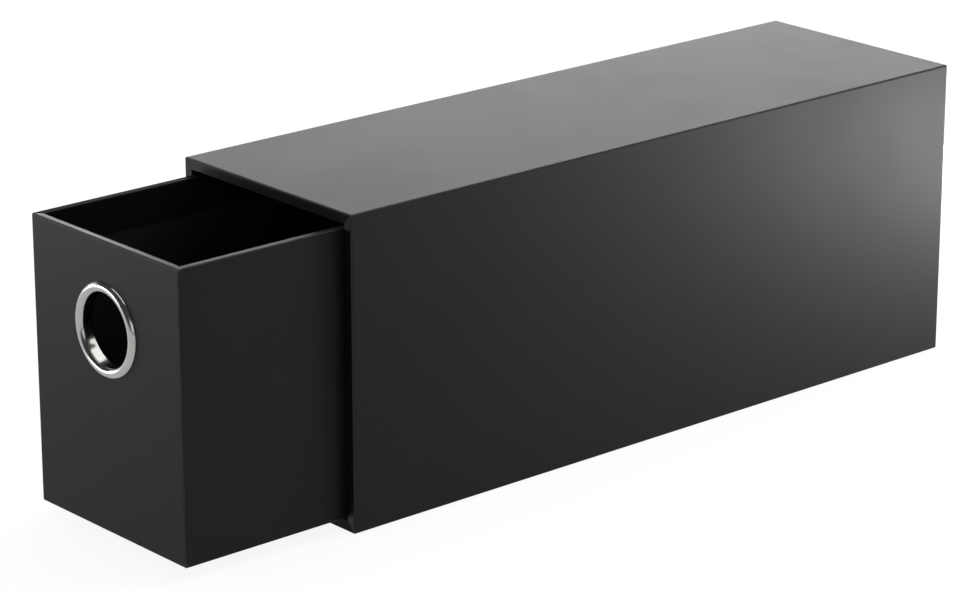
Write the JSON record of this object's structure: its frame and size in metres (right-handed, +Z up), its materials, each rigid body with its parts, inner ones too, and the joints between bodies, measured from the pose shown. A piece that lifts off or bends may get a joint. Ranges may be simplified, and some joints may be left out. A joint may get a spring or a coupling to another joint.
{
  "type": "card storage drawer",
  "caption": "Long upright storage box: a rigid paper-covered board sleeve, closed at the back, with a sliding board drawer pulled by a finger through a metal-rimmed eyelet.",
  "frame": {"origin": "centre of the sleeve's underside, in the plane that it rests on", "axes": "+Z up, -Y out of the sleeve's mouth, the way the drawer pulls, and +X to the right of someone who faces the drawer"},
  "size_m": [0.085, 0.3362, 0.1059],
  "materials": {
    "greyboard": "raw grey board",
    "kraft_tape": "gummed kraft paper",
    "lining_paper": "uncoated black paper",
    "covering_paper": "black paper with a satin film",
    "nickel": "bright nickel plate on brass"
  },
  "bodies": {
    "sleeve": {"sleeve_top_board": "greyboard", "sleeve_base_board": "greyboard", "sleeve_left_board": "greyboard", "sleeve_right_board": "greyboard", "sleeve_back_board": "greyboard", "sleeve_corner_stays": "kraft_tape", "sleeve_lining": "lining_paper", "sleeve_back_lining": "lining_paper", "sleeve_wrap": "covering_paper", "sleeve_back_sheet": "covering_paper", "sleeve_base_sheet": "covering_paper"},
    "drawer": {"drawer_front_board": "greyboard", "drawer_back_board": "greyboard", "drawer_left_board": "greyboard", "drawer_right_board": "greyboard", "drawer_floor_board": "greyboard", "drawer_corner_stays": "kraft_tape", "drawer_wall_lining": "lining_paper", "drawer_floor_lining": "lining_paper", "drawer_wrap": "covering_paper", "drawer_base_sheet": "covering_paper", "eyelet": "nickel", "eyelet_washer": "nickel"}
  },
  "joints": [
    {"name": "drawer_slide", "type": "slide", "parent": "sleeve", "child": "drawer", "axis": [0, -1, 0], "range_m": [-0.063, 0.2065]}
  ]
}
